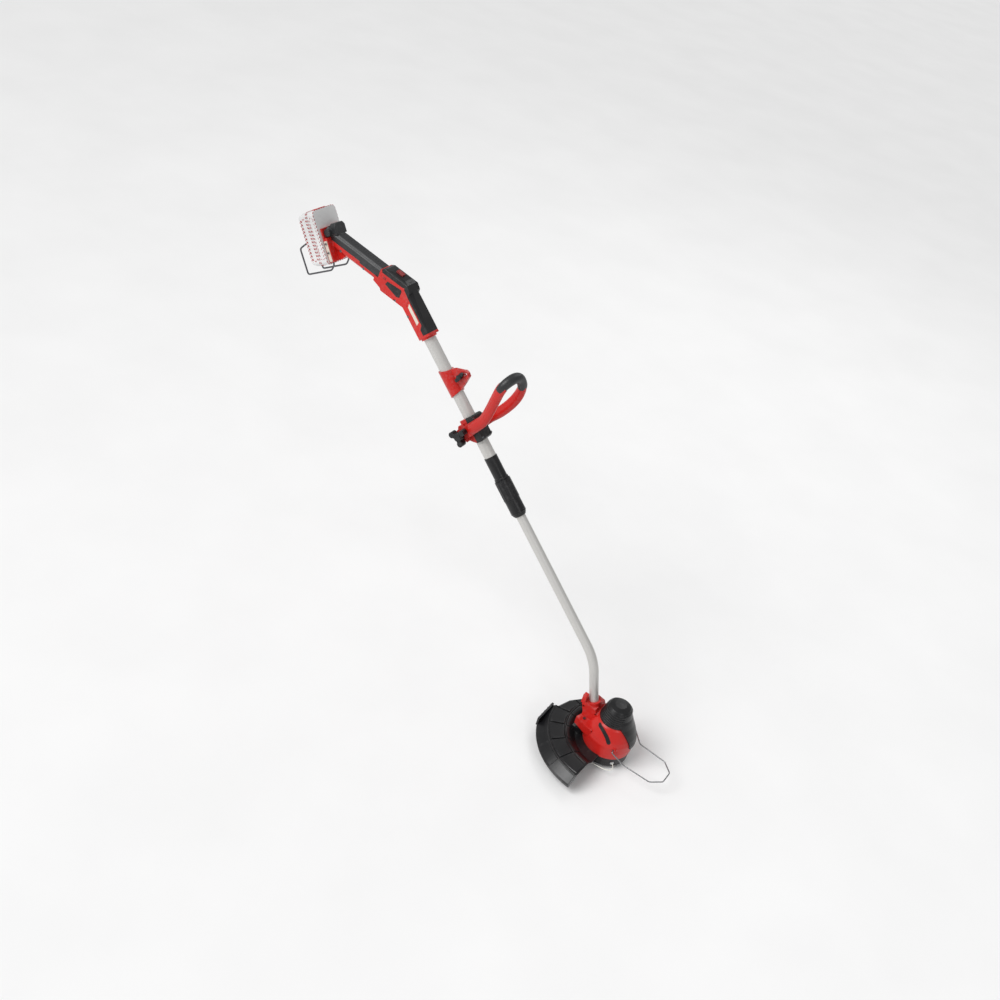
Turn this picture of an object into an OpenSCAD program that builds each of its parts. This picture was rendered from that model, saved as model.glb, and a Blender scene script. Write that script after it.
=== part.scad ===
// Battery lawn edger: grip and trigger housing, telescopic shaft with a tilting loop handle,
// and a turning trimmer head with a spool, shield and wire spacer guard.
// Axes: +X forward from the user to the head, +Y to the user's left, +Z up along the spool axis.
// Origin: centre of the flat underside of the tap button.

/* [Shaft] */
// Angle of the straight shaft above the ground plane
shaft_elev = 42.7; // [42:0.1:44]
// Outer radius of the upper tube
upper_r = 14; // [13.8:0.1:14.1]
// Wall thickness of the upper tube
upper_wall = 1.7; // [1.6:0.05:1.75]
// Outer radius of the lower tube
lower_r = 11; // [10.8:0.1:11.1]
// Wall thickness of the lower tube
lower_wall = 1.2; // [1:0.1:1.5]
// Radius of the bend above the head, at the tube's centre line
bend_r = 140; // [139:1:141]
// Angle of the bend
bend_a = 30; // [29.5:0.5:30.5]

/* [Handle] */
// Angle between the shaft and the grip
grip_a = 32.4; // [32:0.1:33]
// Width of the grip across the hand
grip_w = 35; // [34:0.5:36]
// Width of the trigger housing
body_w = 38; // [37:0.5:39]

/* [Battery] */
// Width of the battery pack
pack_w = 76; // [74:1:78]
// Length of the battery pack
pack_l = 120; // [119:1:122]
// Thickness of the battery pack
pack_t = 45; // [44:0.5:46]
// Wire thickness of the bracket behind the battery
bracket_wire = 4; // [3.5:0.1:4.2]

/* [Head] */
// Radius of the motor housing
head_r = 60; // [59.5:0.5:61]
// Radius of the line spool
spool_r = 58; // [57:0.5:58.5]
// Radius of the shield's rim
rim_r = 183; // [181:1:185]
// Forward offset of the shield's centre from the spool axis
shield_x = 14; // [13:0.5:15]
// Angle covered by the shield
shield_span = 124; // [120:1:126]
// Thickness of the shield
shield_t = 2.6; // [2.4:0.1:2.8]
// Thickness of the spacer guard's wire
guard_wire = 3; // [2.8:0.1:3.2]
// Thickness of the cutting line
line_d = 2; // [1.6:0.1:2.2]

/* [Hidden] */
$fn = 48;
// Gap left between two parts that only touch
gap = 0.05;
// Radial running clearance of a pin or shaft in its bore
run = 0.05;
// Gap between bodies that move past each other
clear = 0.4;
// Start of the shaft's own frame, on the tube's axis at the mouth of the handle
shaft_x = -679.3;
shaft_z = 769.9;
// Shaft stations, measured up the shaft from that start
bend_u = -752;
upper_end_u = -330;
upper_top_u = 64;
lower_top_u = -250;
tail_l = 100;
// Centre of the battery's seat, and its tilt
seat_x = -991.4;
seat_z = 886.8;
seat_a = 32.7;
// Trigger pivot in the grip frame
trig_v = 74;
trig_w = 172;
// Clamp bolt and strap bolt in the shaft frame
bolt_n = -20.5;
bolt_u = -188;
bolt_r = 3;
strap_n = 34;
strap_u = -71;
strap_r = 2.5;
// Centre of the strap eye
eye_n = 45;
eye_u = -72.4;
eye_r = 5;
// Levels along the spool axis
cover_z = 8;
spool_z = 16;
spool_top = 34.5;
drum_z = 35;
rim_z = 24;
dome_z = 112;
// Where the shield starts round its centre, and the far edge cut across it
shield_from = 142;
far_edge = [[-260, -5.5], [-139, -5.5], [-127.5, 29.6], [-99.9, 64.6], [-60, 115], [-260, 115]];
// Flat panel cut into the rim for the line cutter, and its two rivets
panel_x = -157;
rivet_y = [-38, -18];
rivet_z = 28;
// Guard pivot
pivot_x = 35;
pivot_z = 67;
pivot_y = 50;
guard_pin = 1.9;
shaft_r = 3;
red = [0.80, 0.10, 0.09];
black = [0.12, 0.12, 0.13];
grey = [0.30, 0.31, 0.32];
alu = [0.80, 0.80, 0.78];
steel = [0.62, 0.63, 0.65];
cream = [0.93, 0.90, 0.85];
white = [0.95, 0.95, 0.95];

// ---------- frames and helpers ----------

// Shaft frame: Z runs up the shaft to the user, X square to it and upward
module on_shaft() {
    translate([shaft_x, 0, shaft_z]) rotate([0, shaft_elev - 90, 0]) children();
}

// Grip frame: Z runs rearward along the grip, X square to it and upward
module on_grip() {
    on_shaft() rotate([0, -grip_a, 0]) children();
}

// Battery frame: Z runs up the pack, X forward out of the seat
module on_seat() {
    translate([seat_x, 0, seat_z]) rotate([0, -seat_a, 0]) children();
}

// Frame at the end of the bend: -Z runs down the tail of the lower tube
module on_tail() {
    on_shaft() translate([-bend_r * (1 - cos(bend_a)), 0, bend_u - bend_r * sin(bend_a)])
        rotate([0, bend_a, 0]) children();
}

// Extrudes an outline drawn in the XZ plane across Y
module across(w) {
    rotate([90, 0, 0]) linear_extrude(w, center = true) children();
}

// Pin along Y
module y_pin(r, l) {
    rotate([90, 0, 0]) cylinder(r = r, h = l, center = true);
}

module at(x, z) {
    translate([x, 0, z]) children();
}

// Keeps one side of the middle plane: -1 the right, 1 the left
module half(side) {
    intersection() {
        children();
        translate([0, side * (600 + gap), 0]) cube([4000, 1200, 4000], center = true);
    }
}

module block(lo, hi) {
    translate(lo) cube(hi - lo);
}

function unit(v) = v / norm(v);
function curve_at(a, b, c, d, t) =
    0.5 * (2 * b + (c - a) * t + (2 * a - 5 * b + 4 * c - d) * t * t
        + (3 * b - a - 3 * c + d) * t * t * t);
// Smooth curve through a list of points, k steps to each stretch
function smooth(p, k) = concat(
    [for (i = [0:len(p) - 2]) for (j = [0:k - 1])
        curve_at(p[max(i - 1, 0)], p[i], p[i + 1], p[min(i + 2, len(p) - 1)], j / k)],
    [p[len(p) - 1]]);
// Replaces each inner corner with an arc of k + 1 points, r away from the corner
function rounded(p, r, k) = concat([p[0]],
    [for (i = [1:len(p) - 2]) let (a = p[i] + r * unit(p[i - 1] - p[i]),
            b = p[i] + r * unit(p[i + 1] - p[i]))
        for (j = [0:k]) let (t = j / k) (1 - t) * (1 - t) * a + 2 * t * (1 - t) * p[i] + t * t * b],
    [p[len(p) - 1]]);
function heading(p, i) = i == 0 ? unit(p[1] - p[0])
    : i == len(p) - 1 ? unit(p[i] - p[i - 1])
    : unit(unit(p[i + 1] - p[i]) + unit(p[i] - p[i - 1]));
function carried(p, i, prev) = let (t = heading(p, i), n = unit(prev - (prev * t) * t))
    i == len(p) - 1 ? [[t, n]] : concat([[t, n]], carried(p, i + 1, n));

// Bar swept along a list of points, round or widened along its first direction
module sweep(p, r, sides = 12, first = [0.31, 0.9, 0.2], wide = 1) {
    f = carried(p, 0, first);
    pts = [for (i = [0:len(p) - 1]) for (j = [0:sides - 1]) let (a = 360 * j / sides)
        p[i] + r * (wide * cos(a) * f[i][1] + sin(a) * cross(f[i][0], f[i][1]))];
    walls = [for (i = [0:len(p) - 2]) for (j = [0:sides - 1]) let (k = (j + 1) % sides)
        for (tri = [[i * sides + j, (i + 1) * sides + k, i * sides + k],
                [i * sides + j, (i + 1) * sides + j, (i + 1) * sides + k]]) tri];
    caps = [[for (j = [0:sides - 1]) j],
        [for (j = [sides - 1:-1:0]) (len(p) - 1) * sides + j]];
    polyhedron(points = pts, faces = concat(walls, caps));
}

// ---------- handle ----------

body_line = [[-18, 38], [-19, 88], [-21.5, 121], [-28, 136], [-10, 160], [20, 165],
    [25.5, 158], [24, 138], [22, 107], [21, 77], [18, 38]];
block_line = [[47, 114], [48.6, 132], [46, 154], [49.9, 171], [57, 177], [63.5, 199],
    [98, 199], [98.5, 190], [105, 179], [107.5, 166], [107.5, 128], [105, 116], [94, 104],
    [60, 100]];
grip_lo = 63.5;
grip_hi = 98.5;
grip_mid = (grip_lo + grip_hi) / 2;
soft_v = 79.8;
soft_front_w = 190;
seat_w = 62;
seat_lo = -30;
seat_hi = 46;
seat_t = 4;
block_t = 12;
block_hi = 24;

module grip_form(r) {
    on_grip() intersection() {
        translate([grip_mid - r, -grip_w / 2, 180]) cube([2 * r, grip_w, 174]);
        translate([grip_mid, 0, 180]) cylinder(r = r + 3, h = 174);
    }
}

module handle_form() {
    on_shaft() intersection() {
        across(body_w - 1) polygon(body_line);
        at(1.5, 30) cylinder(r = 24, h = 140);
    }
    on_grip() intersection() {
        across(body_w) polygon(block_line);
        at(78, 90) cylinder(r = 32, h = 120);
    }
    difference() {
        grip_form((grip_hi - grip_lo) / 2);
        on_seat() block([-80, -60, -80], [0.5, 60, 120]);
    }
}

// Seat plate, the block under it and the web up to the grip
module seat_form() {
    on_seat() block([0, -seat_w / 2, seat_lo], [seat_t, seat_w / 2, seat_hi]);
    on_seat() block([0, -seat_w / 2, seat_lo], [block_t, seat_w / 2, block_hi]);
    on_seat() across(20) polygon([[block_t - 1, seat_lo], [16, seat_lo], [34, -25], [28, -14],
        [block_t - 1, 0]]);
}

// Space taken by the black top cover, drawn in the shaft frame
module cover_zone(g) {
    on_shaft() across(80) polygon([[2 - g, 44 - g], [2 - g, 58], [11 - g, 66], [11 - g, 120],
        [13.5 - g, 150], [60, 200], [60, 40], [20, 44 - g]]);
    on_grip() across(80) polygon([[93.7 - g, 126], [93.7 - g, 184 + g], [130, 200 + g], [130, 110],
        [100, 110]]);
}

// Space taken by the soft grip skin, with its core left standing
module skin_zone(g) {
    on_grip() difference() {
        block([soft_v - g, -40, soft_front_w - g], [140, 40, 400]);
        block([0, -grip_w / 2 + 3 + g, 0], [grip_hi - 4 - g, grip_w / 2 - 3 - g, 400]);
    }
    on_grip() block([soft_v - 4 - g, -40, soft_front_w - g], [140, -grip_w / 2 + 3 + g, 246]);
    on_grip() block([soft_v - 4 - g, grip_w / 2 - 3 - g, soft_front_w - g], [140, 40, 246]);
}

screw_spots = [[70, 300, 1], [70, 232, 1], [54, 132, 1], [-13, 96, 0]];
clip_z = [-8, 12];

// Places its children at each screw, whether it is set out along the grip or the shaft
module at_screws() {
    for (s = screw_spots) {
        if (s[2] == 1) on_grip() at(s[0], s[1]) children();
        else on_shaft() at(s[0], s[1]) children();
    }
}

module badge_form(t) {
    on_grip() for (side = [-1, 1]) translate([0, side * (body_w / 2 - t / 2), 0]) across(t)
        polygon([[74, 168], [83.5, 164], [87, 127], [84, 123.5], [67, 123.5], [64.5, 132]]);
}

module inlay_form(t) {
    on_shaft() for (side = [-1, 1]) translate([0, side * ((body_w - 1) / 2 - t / 2), 0]) across(t)
        polygon([[-1, 70], [8, 74], [8, 120], [0, 113]]);
}

module handle_shell(side) {
    color(red) half(side) difference() {
        union() {
            difference() {
                handle_form();
                cover_zone(gap);
                skin_zone(gap);
            }
            seat_form();
        }
        // tube seat, electronics bay, switch bay and wire way
        on_shaft() at(0, 30) cylinder(r = upper_r + gap, h = 35);
        on_shaft() at(0, 64) cylinder(r = 9, h = 70);
        on_grip() block([60, -14, 112], [91, 14, 164]);
        on_grip() block([72, -9, 160], [89, 9, 184]);
        on_grip() at(81, 176) cylinder(r = 8, h = 150);
        on_seat() block([-1, -20, -16], [8, 20, 10]);
        // trigger slot and pivot bore, lock-off way
        on_grip() block([40, -6.4, 165], [80, 6.4, 203]);
        on_grip() at(trig_v, trig_w) y_pin(2.5 + run, 30);
        on_grip() block([86, -4.4, 146], [120, 4.4, 156]);
        at_screws() y_pin(1.7, 80);
        at_screws() translate([0, -17, 0]) y_pin(3.2, 8);
        badge_form(1.2);
        inlay_form(1.2);
        // bracket wire sockets and the mouth ring's seat
        on_seat() for (y = [-26, 26]) translate([6, y, -40]) cylinder(r = bracket_wire / 2 + gap, h = 26);
        on_seat() for (z = clip_z) translate([6, 0, z]) y_pin(1.5, 80);
        on_shaft() at(0, 30) cylinder(r = 17.2, h = 9.5);
    }
}

module handle_shell_right() { handle_shell(-1); }

module handle_shell_left() { handle_shell(1); }

module top_cover() {
    color(black) difference() {
        intersection() {
            handle_form();
            cover_zone(-gap);
            on_grip() block([-20, -60, -60], [140, 60, 187]);
        }
        on_grip() block([80, -14, 116], [103.5, 14, 172]);
        on_shaft() block([-5, -14, 70], [18, 14, 130]);
        on_grip() block([90, -5.4, 141.6], [130, 5.4, 160.4]);
        at_screws() y_pin(1.7, 80);
        on_shaft() at(0, 30) cylinder(r = 17.2, h = 9.5);
        on_shaft() at(0, 30) cylinder(r = upper_r + gap, h = 36);
        badge_form(1.2);
    }
}

module soft_grip() {
    color(grey) difference() {
        union() {
            intersection() {
                grip_form((grip_hi - grip_lo) / 2);
                skin_zone(-gap);
            }
            // hand stop across the rear end
            on_seat() translate([13, 0, 34]) y_pin(8.5, 54);
            on_seat() intersection() {
                translate([16, 0, 34]) rotate([0, 90, 0]) cylinder(r = 19, h = 20);
                block([12.2, -17, block_hi + 0.2], [32, 17, 50]);
            }
        }
        on_seat() block([-80, -60, -80], [seat_t + gap, 60, 120]);
        on_seat() block([-80, -60, -80], [block_t + gap, 60, block_hi + gap]);
        on_grip() block([40, -grip_w / 2 + 3 - gap, 100], [grip_hi - 4 + gap, grip_w / 2 - 3 + gap, 400]);
    }
}

module shaft_end_ring() {
    color(red) on_shaft() difference() {
        union() {
            at(0, 34) cylinder(r = 18.3, h = 3.8);
            at(0, 36) cylinder(r = 17.1, h = 3.4);
        }
        at(0, 30) cylinder(r = upper_r + gap, h = 20);
    }
}

module handle_screws() {
    color(steel) at_screws() {
        y_pin(1.6, 28);
        translate([0, -15.5, 0]) y_pin(3, 3);
    }
    color(steel) on_seat() for (side = [-1, 1], z = clip_z) translate([6, side * (seat_w / 2 - 4), z]) {
        y_pin(1.4, 10.6);
        translate([0, side * 6.4, 0]) y_pin(2.4, 1.5);
    }
}

module badge_plates() { color(black) badge_form(1.1); }

module side_inlays() { color(cream) inlay_form(1.1); }

module trigger() {
    color(black) on_grip() difference() {
        union() {
            across(11.6) polygon([[79, 168], [79, 174], [72, 190], [67, 197.5], [60, 197.5],
                [55.5, 191], [54, 184], [58, 178.5], [70, 168]]);
            at(trig_v, trig_w) y_pin(5.5, 11.6);
        }
        at(trig_v, trig_w) y_pin(2.5 + run, 20);
    }
}

module trigger_pin() { color(steel) on_grip() at(trig_v, trig_w) y_pin(2.5, 28); }

module lock_off_button() {
    color([0.55, 0.06, 0.06]) on_grip() {
        block([104, -5, 142], [111.5, 5, 160]);
        block([93, -4, 146.5], [104, 4, 155.5]);
    }
}

module switch_module() { color(black) on_grip() block([63, -8, 124], [90, 8, 158]); }

module control_board() {
    color([0.10, 0.35, 0.18]) on_shaft() block([-4, -7, 70], [-2.4, 7, 112]);
    color([0.10, 0.35, 0.18]) on_grip() block([61, 9, 114], [88, 10.6, 160]);
}

module battery_terminals() {
    color(black) on_seat() block([0.5, -19.5, -15.5], [7.5, 19.5, 9.5]);
    color([0.8, 0.6, 0.3]) on_seat() for (y = [-12, 12]) block([-7, y - 0.6, -12], [0.5, y + 0.6, 4]);
}

// ---------- battery ----------

pack_lo = -33;
split_x = -22;

// Rounded slab between two levels of X
module pack_slab(x0, x1, inset) {
    w = pack_w / 2 - inset;
    r = 10 - inset / 2;
    intersection() {
        union() {
            block([x0, -w, pack_lo + inset + r], [x1, w, pack_lo + pack_l - inset - r]);
            block([x0, -w + r, pack_lo + inset], [x1, w - r, pack_lo + pack_l - inset]);
            for (y = [-w + r, w - r], z = [pack_lo + inset + r, pack_lo + pack_l - inset - r])
                translate([x0, y, z]) rotate([0, 90, 0]) cylinder(r = r, h = x1 - x0);
        }
        at(0, pack_lo + pack_l / 2) y_pin(pack_l / 2 + 9 - inset, 200);
    }
}

module battery_lower_case() {
    color(white) on_seat() difference() {
        pack_slab(-pack_t, split_x - gap, 0);
        pack_slab(-pack_t + 2.5, split_x + 1, 2.5);
    }
}

module battery_upper_case() {
    color(white) on_seat() difference() {
        pack_slab(split_x + gap, -clear, 0);
        pack_slab(split_x - 1, -12, 2.5);
        for (y = [-12, 12]) block([-9, y - 1.6, pack_lo - 1], [1, y + 1.6, 9]);
        block([-21, -14.5, 75], [-7.5, 14.5, 100]);
    }
}

module battery_cells() {
    color([0.2, 0.45, 0.5]) on_seat() for (i = [0:4]) at(-32.5, -15 + 21 * i) y_pin(9, 65);
}

module battery_release() {
    color(red) on_seat() block([-20.6, -14, 79], [-8, 14, 88.5]);
}

module battery_bracket() {
    r = bracket_wire / 2;
    path = rounded([[6, -26, -15], [6, -26, -36], [-6, -26, -47], [-80, -26, -47], [-80, -26, 13],
        [-68, -12, 20], [-68, 12, 20], [-80, 26, 13], [-80, 26, -47], [-6, 26, -47], [6, 26, -36],
        [6, 26, -15]], 5, 3);
    color(grey) on_seat() sweep(path, r, 10);
}

module clip_plates() {
    color(cream) on_seat() for (side = [-1, 1]) difference() {
        translate([2, side * (seat_w / 2 + gap) - (side < 0 ? 1.5 : 0), -28]) cube([8, 1.5, 46]);
        for (z = clip_z) translate([6, 0, z]) y_pin(1.5, 80);
    }
}

// ---------- upper shaft ----------

module upper_tube() {
    color(alu) on_shaft() difference() {
        at(0, upper_end_u) cylinder(r = upper_r, h = upper_top_u - upper_end_u, $fn = 96);
        at(0, upper_end_u - 1) cylinder(r = upper_r - upper_wall, h = 420, $fn = 96);
    }
}

module upper_cable() {
    color(black) on_shaft() at(0, -240) cylinder(r = 2.5, h = 308);
}

module strap_bracket() {
    color(red) on_shaft() difference() {
        intersection() {
            across(60) polygon([[-18, -40], [-18, -107], [10, -101], [34, -90], [53, -80],
                [54.5, -72], [52, -64.5], [46, -62], [26, -50]]);
            union() {
                at(0, -110) cylinder(r = upper_r + 3.5, h = 80);
                block([0, -5, -110], [60, 5, -30]);
            }
        }
        at(0, -120) cylinder(r = upper_r + 0.02, h = 100, $fn = 96);
        block([5, -1.2, -120], [40, 1.2, -30]);
        at(strap_n, strap_u) y_pin(strap_r + run, 60);
        at(eye_n + 2, eye_u + 1) y_pin(eye_r, 60);
    }
}

module strap_bolt() { color(steel) on_shaft() at(strap_n, strap_u) translate([0, -2, 0]) y_pin(strap_r, 24); }

// Knob with rounded lobes around a hub, axis along Y
module lobed_knob(hub_r, reach, lobe_r, count, h) {
    rotate([90, 0, 0]) {
        cylinder(r = hub_r, h = h, center = true);
        for (i = [0:count - 1]) rotate([0, 0, i * 360 / count + 20]) {
            translate([reach, 0, 0]) cylinder(r = lobe_r, h = h - 2, center = true);
            translate([reach / 2, 0, 0]) cube([reach, 1.5 * lobe_r, h - 2], center = true);
        }
    }
}

module strap_knob() {
    color(black) on_shaft() translate([strap_n, -10.4, strap_u]) difference() {
        union() {
            translate([0, -1, 0]) lobed_knob(6, 10, 4.5, 2, 8);
            y_pin(5, 10);
        }
        translate([0, 1, 0]) y_pin(strap_r + run, 9.4);
    }
}

module clamp_lower_half() {
    color(red) on_shaft() difference() {
        union() {
            across(46) polygon([[-30, -200], [-30, -176], [-24, -168], [-9, -168], [-9, -206],
                [-22, -209]]);
            across(37) polygon([[-17.5, -160], [-17.5, -207], [-6, -216], [-0.3, -219], [-0.3, -160]]);
        }
        at(0, -300) cylinder(r = upper_r + 0.02, h = 200, $fn = 96);
        at(bolt_n, bolt_u) y_pin(bolt_r + run, 60);
        for (y = [-16.2, 16.2], u = [-166, -212]) translate([-20, y, u]) rotate([0, 90, 0])
            cylinder(r = 1.55, h = 30);
    }
}

module clamp_upper_half() {
    color(black) on_shaft() difference() {
        across(37) polygon([[0.3, -159], [0.3, -219.5], [14, -219.5], [20, -216], [20, -162], [16, -159]]);
        at(0, -300) cylinder(r = upper_r + 0.02, h = 200, $fn = 96);
        for (y = [-16.2, 16.2], u = [-166, -212]) translate([-20, y, u]) rotate([0, 90, 0])
            cylinder(r = 1.55, h = 50);
    }
}

module clamp_screws() {
    color(steel) on_shaft() for (y = [-16.2, 16.2], u = [-166, -212]) {
        translate([-8, y, u]) rotate([0, 90, 0]) cylinder(r = 1.5, h = 29);
        translate([20.02, y, u]) rotate([0, 90, 0]) cylinder(r = 2.8, h = 2);
    }
}

// Centre line of the loop handle in the shaft frame
loop_path = smooth([[30, -28.5, -182], [57, -28.5, -176], [88, -30, -160], [116, -33, -144],
    [143, -33.5, -129], [159, -22, -123], [165, -2, -123], [162, 15, -130], [149, 28, -147],
    [125, 33.5, -162], [97, 31, -173], [62, 28.5, -180], [30, 28.5, -182]], 4);
loop_r = 8.5;
loop_core_r = 5.5;
loop_grip_r = 12;

module loop_handle() {
    color(red) on_shaft() difference() {
        union() {
            sweep(loop_path, loop_r, 14, [0, 0.2, 1], 1.5);
            for (side = [-1, 1]) translate([0, side * 27, 0]) hull() {
                at(bolt_n, bolt_u) rotate([90, 0, 0]) cylinder(r = 14.5, h = 6, center = true, $fn = 32);
                at(46, -179) rotate([90, 0, 0]) cylinder(r = 12.6, h = 6, center = true, $fn = 32);
            }
        }
        at(bolt_n, bolt_u) y_pin(bolt_r + run, 90);
        // bared core under the soft grip
        difference() {
            sweep([for (i = [17:37]) loop_path[i]], 15, 14);
            sweep([for (i = [16:38]) loop_path[i]], loop_core_r, 14);
        }
    }
}

module loop_grip() {
    color(black) on_shaft() difference() {
        sweep([for (i = [17:37]) loop_path[i]], loop_grip_r, 14);
        sweep([for (i = [16:38]) loop_path[i]], loop_core_r + 0.1, 14);
    }
}

module loop_bolt() {
    color(steel) on_shaft() at(bolt_n, bolt_u) translate([0, -3, 0]) y_pin(bolt_r, 77);
}

module loop_knob() {
    color(black) on_shaft() translate([bolt_n, -40, bolt_u]) difference() {
        union() {
            lobed_knob(9, 16, 7, 3, 17);
            translate([0, 1, 0]) y_pin(7, 17);
        }
        translate([0, 3, 0]) y_pin(bolt_r + 0.01, 13.5);
    }
}

module loop_nut() {
    color(steel) on_shaft() translate([bolt_n, 33.2, bolt_u]) difference() {
        rotate([90, 0, 0]) cylinder(r = 6, h = 5, center = true, $fn = 6);
        y_pin(bolt_r + 0.01, 10);
    }
}

// ---------- telescopic lock and lower shaft ----------

module lock_sleeve() {
    color(black) on_shaft() difference() {
        union() {
            at(0, -318) cylinder(r = 15.3, h = 57);
            at(0, -319) cylinder(r = 16.8, h = 5);
            at(0, -346) cylinder(r = 14.9, h = 30);
        }
        at(0, upper_end_u) cylinder(r = upper_r + 0.02, h = 80, $fn = 96);
        at(0, -350) cylinder(r = 13.2, h = 21);
    }
}

module lock_collet() {
    color(grey) on_shaft() difference() {
        union() {
            at(0, -398) cylinder(r = 13.1, h = 67.5);
            at(0, -398) cylinder(r = 14.2, h = 10);
        }
        at(0, -400) cylinder(r = lower_r + 0.3, h = 80, $fn = 96);
        for (a = [0:60:300]) rotate([0, 0, a]) block([5, -0.8, -400], [30, 0.8, -350]);
    }
}

module lock_collar() {
    color(black) on_shaft() difference() {
        union() {
            at(0, -368) cylinder(r = 18.8, h = 48.6);
            at(0, -402) cylinder(r = 18, h = 36);
            at(0, -411) cylinder(r1 = 13.5, r2 = 18, h = 9.2);
        }
        at(0, -347) cylinder(r = 15.2, h = 40);
        at(0, -399) cylinder(r = 14.6, h = 60);
        at(0, -420) cylinder(r = lower_r + 0.6, h = 60);
        for (a = [0:30:330]) rotate([0, 0, a]) translate([20.2, 0, -396]) cylinder(r = 2.2, h = 70);
    }
}

module guide_bush() {
    color(grey) on_shaft() difference() {
        at(0, -284) cylinder(r = upper_r - upper_wall - run, h = 34, $fn = 96);
        at(0, -290) cylinder(r = lower_r + run, h = 60, $fn = 96);
    }
}

// The bend is swaged a little thicker than the straight stretches it joins
module lower_tube() {
    inner_r = lower_r - lower_wall;
    swage = 0.25;
    color(alu) {
        on_shaft() difference() {
            at(0, bend_u) cylinder(r = lower_r, h = lower_top_u - bend_u, $fn = 96);
            at(0, bend_u - 1) cylinder(r = inner_r, h = lower_top_u - bend_u + 2, $fn = 96);
        }
        on_shaft() translate([-bend_r, 0, bend_u]) rotate([90, 0, 0]) rotate([0, 0, -bend_a])
            rotate_extrude(angle = bend_a, $fn = 96) translate([bend_r, 0]) difference() {
                circle(r = lower_r + swage, $fn = 96);
                circle(r = inner_r - swage, $fn = 96);
            }
        on_tail() difference() {
            at(0, -tail_l) cylinder(r = lower_r, h = tail_l, $fn = 96);
            at(0, -tail_l - 1) cylinder(r = inner_r, h = tail_l + 2, $fn = 96);
        }
    }
}

module lower_cable() {
    color(black) on_shaft() at(0, -740) cylinder(r = 2.5, h = 180);
}

// ---------- head ----------

dome_line = [[0, drum_z], [head_r, drum_z], [head_r + 0.8, 50], [head_r, 70], [56, 82], [49, 96],
    [42.5, dome_z - 4], [39, dome_z], [0, dome_z]];

module head_form() {
    rotate_extrude($fn = 96) polygon(dome_line);
    across(48) polygon([[-20, 40], [-70, 40], [-72, 60], [-74, 96], [-82, 118], [-83, 126],
        [-46, 120], [-41, 111], [-20, 107]]);
    // wings over the shield's mounting blocks
    for (side = [-1, 1]) translate([0, 0, 62]) linear_extrude(22)
        polygon([[-30, side * 10], [-30, side * 51], [-46, side * 49], [-80, side * 36], [-72, side * 10]]);
    on_tail() at(0, -tail_l - 6) cylinder(r = 17.5, h = 28);
    // ear behind the collar
    translate([-86, -24, 120]) cube([10, 12, 24]);
    for (side = [-1, 1]) translate([pivot_x, side * (pivot_y - 6), pivot_z]) y_pin(7, 11);
}

head_screw_spots = [[-42, 108], [-76, 112], [-62, 52]];

module head_shell(side) {
    color(red) half(side) difference() {
        head_form();
        // motor bay, cap mouth, gear-side bay and cable way
        at(0, 66) cylinder(r1 = 53, r2 = 36, h = 36);
        at(0, 63) cylinder(r = 54, h = 3.2);
        at(0, 39) cylinder(r = 54, h = 20);
        at(0, 90) cylinder(r = 34, h = 40);
        at(0, 30) cylinder(r = 12, h = 40);
        at(0, 58) cylinder(r = 24.2, h = 20);
        block([-64, -12, 66], [-40, 12, 92]);
        on_tail() at(0, -tail_l) cylinder(r = lower_r + 0.02, h = 60, $fn = 96);
        on_tail() at(0, -tail_l - 20) cylinder(r = 8, h = 30);
        for (s = head_screw_spots) at(s[0], s[1]) y_pin(1.7, 36);
        for (s = head_screw_spots) translate([s[0], -37, s[1]]) y_pin(3.2, 40);
        for (y = [-30, 30]) translate([-62, y, 50]) cylinder(r = 2, h = 60);
        at(pivot_x, pivot_z) y_pin(guard_pin + run, 140);
        window_form(4.3, 4, 1.7);
    }
}

module head_shell_right() { head_shell(-1); }

module head_shell_left() { head_shell(1); }

module head_screws() {
    color(steel) for (s = head_screw_spots) at(s[0], s[1]) {
        y_pin(1.6, 34);
        translate([0, -18.2, 0]) y_pin(3, 2.4);
    }
}

// Side wall of the dome, and the centre line of the slot down each side of it
dome_side = [[60, 70], [56, 82], [49, 96], [42.5, 108], [39.9, 111]];
window_line = smooth([[-21, 105], [-6, 101], [9, 92.5], [20, 81]], 3);

// Slots of half-width r, from outside the dome's wall down to a depth in it
module window_form(r, out, depth) {
    n = len(window_line) - 1;
    t = [for (i = [0:n]) heading(window_line, i)];
    intersection() {
        rotate_extrude($fn = 96) polygon(concat([for (p = dome_side) p + [out, 0]],
            [for (i = [len(dome_side) - 1:-1:0]) dome_side[i] - [depth, 0]]));
        across(140) polygon(concat([window_line[0] - 0.7 * r * t[0]],
            [for (i = [0:n]) window_line[i] + r * [-t[i][1], t[i][0]]], [window_line[n] + 0.7 * r * t[n]],
            [for (i = [n:-1:0]) window_line[i] - r * [-t[i][1], t[i][0]]]));
    }
}

module side_windows() { color(black) window_form(4.2, 0, 1.6); }

module motor_cap() {
    color(black) difference() {
        union() {
            rotate_extrude($fn = 96) polygon([[0, dome_z], [38.5, dome_z + gap], [38, dome_z + 6], [34.5, 134],
                [31, 146], [25, 154], [14, 158], [0, 159.5]]);
            intersection() {
                rotate_extrude($fn = 96) polygon([[30, dome_z + 10], [39.4, dome_z + gap], [42.9, dome_z - 3.9],
                    [49.4, 96.2], [56.4, 82.2], [60.4, 70.2], [60.9, 62], [64, 62], [63.5, 72], [59.5, 85],
                    [52, 100], [45, 112], [38.5, 126], [30, 140]]);
                rotate([90, 0, 90]) linear_extrude(90) polygon([[-13, 62], [13, 62], [17, 76], [30, 118],
                    [24, 146], [-24, 146], [-30, 118], [-17, 76]]);
            }
        }
        rotate_extrude($fn = 96) polygon([[0, dome_z - 5], [33.8, dome_z - 5], [33.8, 122], [31.5, 134], [28.5, 144],
            [23, 151], [13, 155], [0, 156.5]]);
    }
}

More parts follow.
